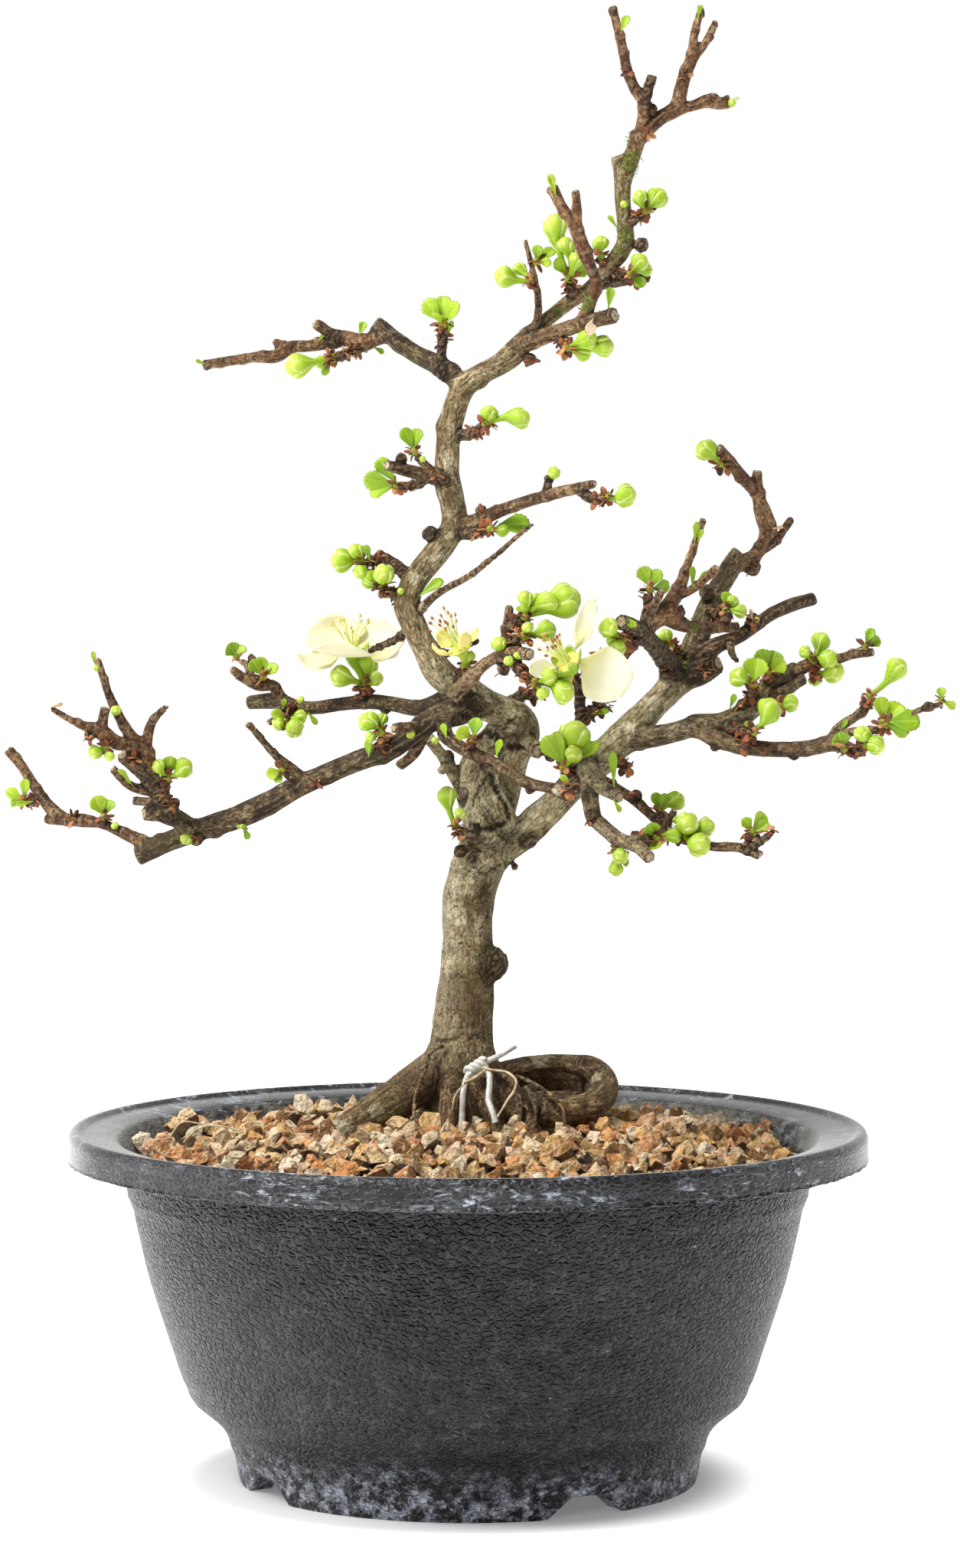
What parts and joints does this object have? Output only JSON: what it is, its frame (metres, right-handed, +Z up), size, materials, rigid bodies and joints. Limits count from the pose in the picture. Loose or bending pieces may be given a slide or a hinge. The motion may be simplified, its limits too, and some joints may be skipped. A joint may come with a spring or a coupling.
{
  "type": "flowering quince bonsai",
  "caption": "Small deciduous bonsai tree in early spring, with swelling buds, young leaves and pale open blooms, growing from coarse grit in a round plastic training pot.",
  "frame": {"origin": "on the pot's vertical axis, on the plane that the foot ring stands on", "axes": "+Z up, -Y towards the front of the tree, +X to its right as seen from the front"},
  "size_m": [0.1908, 0.1604, 0.2954],
  "materials": {
    "pot_plastic": "matt dark charcoal plastic with a fine pebbled grain, dusty along the rim and limed at the foot",
    "grit": "dry mineral grit in tan, cream, pink and ochre",
    "bark": "smooth grey-olive bark on the trunk and limbs, red-brown on the young twigs, dark and rough on the roots",
    "young_green": "fresh yellow-green buds and unfolding leaves, soft satin",
    "petal": "creamy white thin petals, slightly translucent",
    "stamen": "pale yellow filaments with ochre anthers",
    "tie_wire": "dull grey bent wire"
  },
  "bodies": {
    "root": {"flower_left_petals": "petal", "flower_left_stamens": "stamen", "flower_middle_petals": "petal", "flower_middle_stamens": "stamen", "flower_right_petals": "petal", "flower_right_stamens": "stamen", "grit": "grit", "pot": "pot_plastic", "spray_arching_big": "young_green", "spray_arching_left": "young_green", "spray_arching_long": "young_green", "spray_arching_outer": "young_green", "spray_arching_outer_buds": "young_green", "spray_arching_right": "young_green", "spray_arching_round": "young_green", "spray_arching_top": "young_green", "spray_arching_top_end": "young_green", "spray_back_left": "young_green", "spray_back_left_end": "young_green", "spray_back_left_top": "young_green", "spray_big_cluster": "young_green", "spray_crossing_leaf": "young_green", "spray_crown_fan": "young_green", "spray_forward": "young_green", "spray_forward_leaf": "young_green", "spray_front_hanging": "young_green", "spray_front_low": "young_green", "spray_front_upper": "young_green", "spray_green_stub": "young_green", "spray_hub_back": "young_green", "spray_leader_low": "young_green", "spray_leader_single": "young_green", "spray_leader_top": "young_green", "spray_left_fan": "young_green", "spray_left_flower": "young_green", "spray_left_group": "young_green", "spray_left_group_low": "young_green", "spray_left_limb": "young_green", "spray_left_tip": "young_green", "spray_limb": "young_green", "spray_long_thin_big": "young_green", "spray_long_thin_end": "young_green", "spray_long_thin_upper": "young_green", "spray_mid_cluster": "young_green", "spray_mid_left": "young_green", "spray_mid_left_hook": "young_green", "spray_mid_right_end": "young_green", "spray_mid_right_shoot": "young_green", "spray_middle_flower": "young_green", "spray_neck": "young_green", "spray_right_tip": "young_green", "spray_thorn_left": "young_green", "spray_thorn_right": "young_green", "spray_trunk": "young_green", "spray_under_fork": "young_green", "spray_upper_left": "young_green", "spray_upper_right": "young_green", "spray_upper_right_side": "young_green", "tie_wire": "tie_wire", "tree_wood": "bark"}
  },
  "joints": []
}
